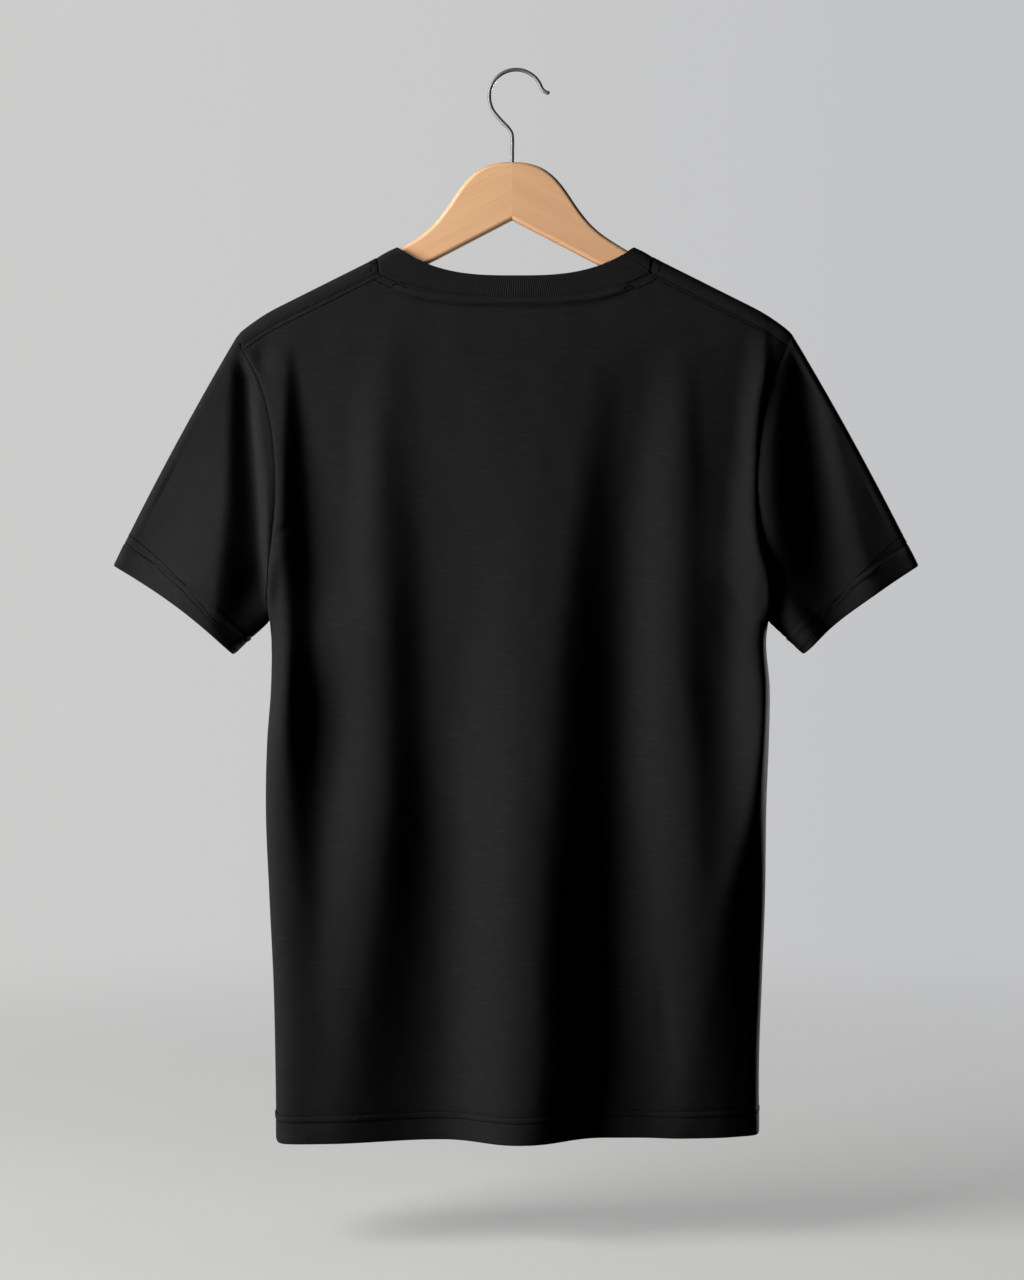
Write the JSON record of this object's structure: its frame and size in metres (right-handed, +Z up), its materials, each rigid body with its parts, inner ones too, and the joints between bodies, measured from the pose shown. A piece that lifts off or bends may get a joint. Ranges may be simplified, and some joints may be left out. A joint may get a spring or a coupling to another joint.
{
  "type": "crew neck t-shirt on a wooden hanger",
  "caption": "Short-sleeved crew neck t-shirt with a ribbed neckband, hanging in soft folds on a flat wooden hanger with a wire hook.",
  "frame": {"origin": "inside of the hook's crown, where the hanger hangs on its rail", "axes": "+Z up, +X towards the wearer's left, -Y out of the wearer's front, so the back faces +Y"},
  "size_m": [0.6609, 0.1464, 0.8732],
  "materials": {
    "jersey": "black cotton jersey, matt with a faint sheen",
    "rib": "black cotton rib, matt",
    "wood": "light wood under a satin clear lacquer",
    "steel_wire": "bright plated steel wire"
  },
  "bodies": {
    "root": {"front_panel": "jersey", "back_panel": "jersey", "sleeve_left": "jersey", "sleeve_right": "jersey", "neckband": "rib", "hanger_left": "wood", "hanger_right": "wood", "hanger_hook": "steel_wire"}
  },
  "joints": []
}
